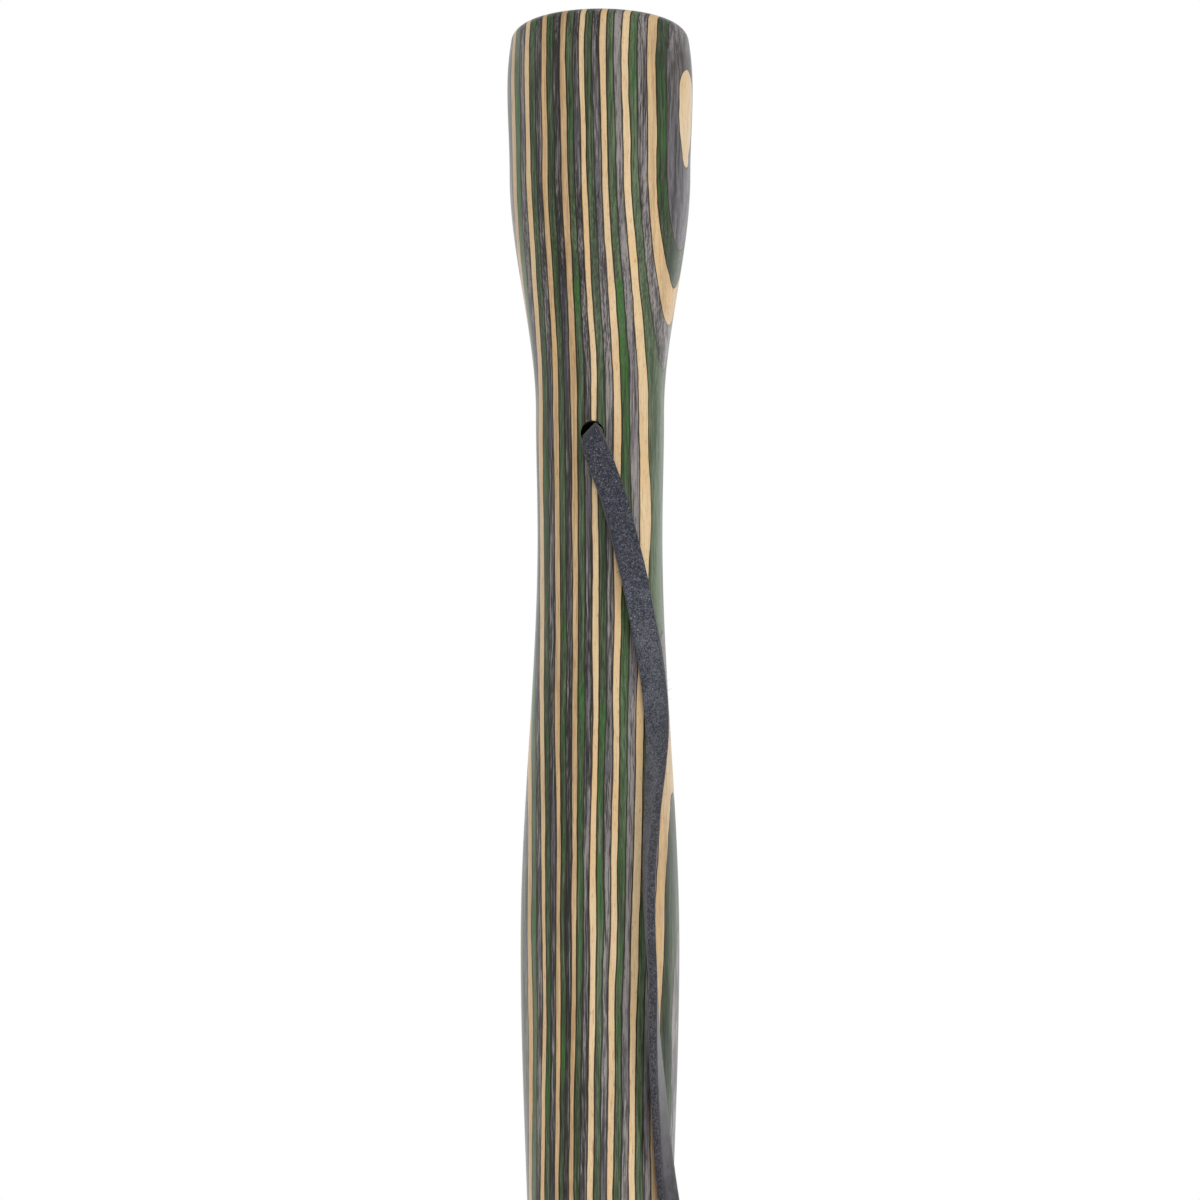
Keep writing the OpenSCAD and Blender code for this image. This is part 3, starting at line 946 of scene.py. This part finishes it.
def veneer_finish(name, stops, vivid, fleck, fleck_share, contrast_shares, glues, glue_shares):
    """Birch under satin lacquer: streaks and fibres up the staff, stretches of a fuller colour, short
    flecks and dark glue lines."""
    finish, flow = new_finish(name)
    place = flow.node("ShaderNodeTexCoord", out="Object")
    sheet = read(flow, "sheet")
    from_outer = read(flow, "from_outer")
    from_inner = read(flow, "from_inner")
    waver = ripple(drawn_out(place, waver_axis_scales), waver_scale)
    sway = flow.node("ShaderNodeCombineXYZ", None, {0: waver * streak_waver, 1: waver * streak_waver})
    swayed = flow.node("ShaderNodeVectorMath", {"operation": "ADD"}, {0: place, 1: sway})
    short_place = drawn_out(place, short_axis_scales)
    streaks = noise(drawn_out(swayed, streak_axis_scales, streak_turn), streak_scale, 3)
    fibres = noise(drawn_out(place, fibre_axis_scales), fibre_scale)
    clouds = noise(short_place, cloud_scale)
    tone = flow.node("ShaderNodeTexWhiteNoise", {"noise_dimensions": "1D"}, {"W": sheet + tone_seed})
    patterns = zip((streaks, fibres, clouds, tone), contrast_shares)
    share = sum((pattern - noise_middle) * contrast for pattern, contrast in patterns) + noise_middle
    grain_stops = [(position, linear(colour)) for position, colour in stops]
    colour = flow.node("ShaderNodeValToRGB", {"stops": grain_stops}, {"Fac": share})
    own_start = flow.node("ShaderNodeCombineXYZ", None, {
        0: sheet * vivid_sheet_step,
        1: waver * vivid_waver,
    })
    own_place = flow.node("ShaderNodeVectorMath", {"operation": "MULTIPLY_ADD"}, {
        0: place,
        1: vivid_axis_scales,
        2: own_start,
    })
    stretches = rise(noise(own_place, 1, 1), *vivid_limits) * rise(streaks, *vivid_streak_limits)
    colour = tint(stretches * vivid_share, colour, linear(vivid))
    dashes = noise(short_place, dash_scale, 1)
    colour = tint(rise(dashes, *dash_limits) * fleck_share, colour, linear(fleck))
    specks = noise(place, speck_scale, 1)
    colour = tint(rise(specks, *speck_limits) * fleck_share * speck_share, colour, linear(fleck))
    wobble = ripple(short_place, wobble_scale) * glue_wobble
    for distance, glue, glue_share in zip((from_outer, from_inner), glues, glue_shares):
        near = rise(distance + wobble, glue_fade, glue_core)
        colour = tint(near * glue_share, colour, linear(glue))
    roughness = lacquer_roughness + lacquer_unevenness * (fibres - noise_middle)
    end_finish(flow, colour, roughness, fibres + dashes * dash_relief_share, lacquer_depth, lacquer_shine)
    return finish


# Contrast shares: streaks, fibres, clouds and the sheet's own tone. Glues: the outer and the inner line
veneer_finishes = [
    veneer_finish(
        "undyed_veneer",
        stops=[(0.15, (164, 136, 100)), (0.5, (200, 173, 134)), (0.85, (215, 191, 152))],
        vivid=(206, 171, 122),
        fleck=(156, 106, 62),
        fleck_share=0.5,
        contrast_shares=(0.9, 0.5, 0.4, 0.5),
        glues=((38, 29, 15), (46, 34, 24)),
        glue_shares=(0.95, 0.9),
    ),
    veneer_finish(
        "grey_veneer",
        stops=[(0.2, (43, 40, 40)), (0.5, (84, 80, 79)), (0.8, (140, 134, 131))],
        vivid=(92, 88, 95),
        fleck=(34, 31, 31),
        fleck_share=0.55,
        contrast_shares=(1.7, 1.25, 0.55, 0.6),
        glues=((36, 28, 21), (32, 29, 23)),
        glue_shares=(0.95, 0.85),
    ),
    veneer_finish(
        "green_veneer",
        stops=[(0.2, (38, 47, 33)), (0.5, (67, 79, 57)), (0.8, (98, 112, 87))],
        vivid=(44, 96, 34),
        fleck=(27, 35, 25),
        fleck_share=0.45,
        contrast_shares=(1.1, 0.95, 0.6, 0.6),
        glues=((30, 29, 21), (28, 24, 11)),
        glue_shares=(0.85, 0.95),
    ),
]
for k in range(veneer_count):
    far = blank_reach if k == 0 else first_glue_line - veneer_thickness * (k - 1)
    near = -blank_reach if k == veneer_count - 1 else first_glue_line - veneer_thickness * k
    label = f"{k + 1:02d}_{dyes[k % 3]}"
    veneer = grown(f"sheet_{label}", profile_mesh(), veneer_tree, {
        "Arc steps": arc_steps,
        "Outer glue line": far * mm,
        "Inner glue line": near * mm,
        "Sheet": float(k),
        "Wave": glue_wave * mm,
        "Sheet wave": sheet_wave * mm,
        "Edge wave": edge_wave * mm,
        "Bore radius": bore_radius * mm,
        "Bore height": bore_height,
        "Bored": min(abs(far), abs(near)) < bored_reach,
        "Finish": veneer_finishes[k % 3],
    })
    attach(veneer, "staff")
    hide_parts(f"veneer_{label}")

# Ferrule: moulded black rubber, pushed on the tip and held by its own grip. Three beads stiffen the collar,
# and rings are moulded into the sole for a hold on wet ground.
sole_radius = 17.0
sole_round = 1.2
sole_edge = 5.0
flare_top = 15.0
collar_radius = 13.8
ferrule_height = 44.0
lip_round = 0.6
socket_radius = 11.05
socket_floor = 8.5
bead_radius = 0.9
bead_foot = 1.3
bead_heights = (19.0, 27.0, 35.0)
groove_radii = (10.0, 5.0)
groove_half_width = 0.8
groove_depth = 1.8
groove_round = 0.3
spin_steps = 128
groove_steps = 5
sole_steps = 8
flare_steps = 24
bead_steps = 15
lip_steps = 6
rubber_black = (38, 38, 40)
rubber_worn = (66, 65, 65)
speckle_scale = 2400
bloom_scale = 130
scuff_top = 9 * mm
scuff_limits = (0.42, 0.62)
speckle_limits = (0.35, 0.7)
speckle_share = 0.35
bloom_share = 0.25
scuff_share = 0.5
rubber_roughness = 0.62
speckle_roughness = 0.2
rubber_depth = 0.05 * mm
rubber_shine = {"Specular IOR Level": 0.35}


def arc(centre_r, centre_z, radius, first, last, steps):
    """Points of an arc in the ferrule's half section, between two angles in degrees."""
    return [
        (centre_r + radius * math.cos(math.radians(a)), centre_z + radius * math.sin(math.radians(a)))
        for a in np.linspace(first, last, steps)
    ]


def ferrule_section():
    """Half section of the ferrule, from the middle of the sole round the outside down into the socket."""
    points = [(0, 0)]
    for middle in reversed(groove_radii):
        for edge, rounding in ((middle - groove_half_width, -1), (middle + groove_half_width, 1)):
            if rounding < 0:
                points += arc(edge - groove_round, groove_round, groove_round, 270, 360, groove_steps)
                points.append((edge, groove_depth))
            else:
                points.append((edge, groove_depth))
                points += arc(edge + groove_round, groove_round, groove_round, 180, 270, groove_steps)
    points += arc(sole_radius - sole_round, sole_round, sole_round, 270, 360, sole_steps)
    for s in np.linspace(0, 1, flare_steps):
        wide = sole_radius + (collar_radius - sole_radius) * float(smooth(s))
        points.append((wide, sole_edge + (flare_top - sole_edge) * s))
    for bead in bead_heights:
        for s in np.linspace(-1, 1, bead_steps):
            swell = bead_radius * (1 - s * s) ** 2
            points.append((collar_radius + swell, bead + bead_foot * s))
    points += arc(collar_radius - lip_round, ferrule_height - lip_round, lip_round, 0, 90, lip_steps)
    points += arc(socket_radius + lip_round, ferrule_height - lip_round, lip_round, 90, 180, lip_steps)
    points += [(socket_radius, socket_floor), (0, socket_floor)]
    return points


def spun(name, section, finish):
    """A closed turned piece from a half section that starts and ends on the axis."""
    mesh = bpy.data.meshes.new(name)
    corners = []
    rings = []
    for r, z in section:
        if r == 0:
            rings.append([len(corners)] * spin_steps)
            corners.append((0, 0, z * mm))
            continue
        rings.append(list(range(len(corners), len(corners) + spin_steps)))
        for i in range(spin_steps):
            turn = 2 * math.pi * i / spin_steps
            corners.append((r * mm * math.cos(turn), r * mm * math.sin(turn), z * mm))
    faces = []
    for low, high in zip(rings, rings[1:]):
        for i in range(spin_steps):
            k = (i + 1) % spin_steps
            face = [low[i], low[k], high[k], high[i]]
            faces.append(tuple(dict.fromkeys(face)))
    mesh.from_pydata(corners, [], faces)
    mesh.materials.append(finish)
    mesh.shade_smooth()
    piece = bpy.data.objects.new(name, mesh)
    bpy.context.scene.collection.objects.link(piece)
    return piece


rubber, flow = new_finish("moulded_rubber")
place = flow.node("ShaderNodeTexCoord", out="Object")
speckle = noise(place, speckle_scale, 3)
bloom = noise(place, bloom_scale, 3)
height = flow.node("ShaderNodeSeparateXYZ", None, {0: place}, out=2)
scuff = rise(height, scuff_top, 0) * rise(bloom, *scuff_limits)
worn_share = speckle_share * rise(speckle, *speckle_limits) + bloom_share * bloom + scuff_share * scuff
rubber_colour = tint(worn_share, linear(rubber_black), linear(rubber_worn))
roughness = rubber_roughness + speckle_roughness * speckle
end_finish(flow, rubber_colour, roughness, speckle, rubber_depth, rubber_shine)
ferrule = spun("rubber_foot", ferrule_section(), rubber)
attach(ferrule, "ferrule")
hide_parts("rubber_ferrule")

# Washer: a zinc plated steel disc that lies loose on the floor of the socket, so that the end grain of the
# tip doesn't punch through the rubber.
zinc_dull = (150, 152, 156)
zinc_bright = (196, 198, 200)
spangle_scale = 900
scratch_scale = 5200
scratch_axis_scales = (1, 0.06, 1)
spangle_share = 0.6
scratch_share = 0.4
zinc_roughness = 0.3
scratch_roughness = 0.25
zinc_depth = 0.01 * mm
zinc, flow = new_finish("zinc_plated_steel")
place = flow.node("ShaderNodeTexCoord", out="Object")
spangle = flow.node("ShaderNodeTexVoronoi", None, {"Vector": place, "Scale": spangle_scale}, out=1)
spangle = flow.node("ShaderNodeSeparateXYZ", None, {0: spangle})
scratches = noise(drawn_out(place, scratch_axis_scales), scratch_scale)
bright_share = spangle_share * spangle + scratch_share * scratches
zinc_colour = tint(bright_share, linear(zinc_dull), linear(zinc_bright))
roughness = zinc_roughness + scratch_roughness * scratches
end_finish(flow, zinc_colour, roughness, scratches, zinc_depth, {"Metallic": 1})
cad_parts["ferrule_washer"].material_slots[0].material = zinc

# Stage: a round pale floor, matt, that fades out into the white surroundings. It lies low enough for the
# ferrule to be pulled off.
floor_height = -0.045
floor_radius = 2.4
floor_sides = 96
floor_grey = (226, 226, 225)
fade_start = 0.4
fade_end_share = 0.95
floor_mesh = bpy.data.meshes.new("pale_floor")
rim = [
    (floor_radius * math.cos(2 * math.pi * i / floor_sides),
     floor_radius * math.sin(2 * math.pi * i / floor_sides), floor_height)
    for i in range(floor_sides)
]
floor_mesh.from_pydata(rim, [], [tuple(range(floor_sides))])
floor = bpy.data.objects.new("pale_floor", floor_mesh)
bpy.context.scene.collection.objects.link(floor)
floor_finish, flow = new_finish("pale_floor")
place = flow.node("ShaderNodeTexCoord", out="Object")
reach = flow.node("ShaderNodeVectorMath", {"operation": "LENGTH"}, {0: place}, out=1)
matt = flow.node("ShaderNodeBsdfDiffuse", None, {"Color": linear(floor_grey)})
clear = flow.node("ShaderNodeBsdfTransparent")
fade = rise(reach, fade_start, floor_radius * fade_end_share)
ground = flow.node("ShaderNodeMixShader", None, {0: fade, 1: matt, 2: clear})
flow.node("ShaderNodeOutputMaterial", None, {"Surface": ground})
floor_mesh.materials.append(floor_finish)

# Light: white surroundings give most of it and a wide soft lamp in front adds to it. Two lamps beside the
# grip put a sheen on the lacquer of the neck, and two behind it light its edges.
ambient = 0.68
world = bpy.data.worlds.new("white_studio")
bpy.context.scene.world = world
world.use_nodes = True
world.node_tree.nodes.clear()
flow = Flow(world.node_tree)
seen = flow.node("ShaderNodeLightPath")
mirrored = flow.maths("MAXIMUM", seen.also("Is Glossy Ray"), seen.also("Is Transmission Ray"))
shown = flow.maths("MAXIMUM", seen, mirrored)
brightness = ambient + (1 - ambient) * shown
sky = flow.node("ShaderNodeBackground", None, {"Color": (1, 1, 1, 1), "Strength": brightness})
flow.node("ShaderNodeOutputWorld", None, {"Surface": sky})
lamp_target = np.array([0, 0, view_height])
# Lamps: name, place and width (m), power (W)
for name, place, size, energy in (
    ("front_lamp", (0.4, -1.8, 0.6), 1.0, 14.0),
    ("right_lamp", (1.3, -0.7, 0.8), 0.6, 4.9),
    ("left_lamp", (-1.5, -0.13, 0.8), 0.5, 1.6),
    ("right_edge_lamp", (1.2, 1.5, 1.1), 1.3, 4.0),
    ("left_edge_lamp", (-1.2, 1.5, 1.1), 1.3, 1.4),
):
    lamp_data = bpy.data.lights.new(name, "AREA")
    lamp_data.size = size
    lamp_data.energy = energy
    lamp = bpy.data.objects.new(name, lamp_data)
    aim = lamp_target - np.array(place)
    lamp.location = place
    turn = math.atan2(aim[1], aim[0]) - level
    tilt = math.atan2(math.hypot(aim[0], aim[1]), -aim[2])
    lamp.rotation_euler = (tilt, 0, turn)
    bpy.context.scene.collection.objects.link(lamp)

bpy.context.scene.view_settings.view_transform = "Standard"
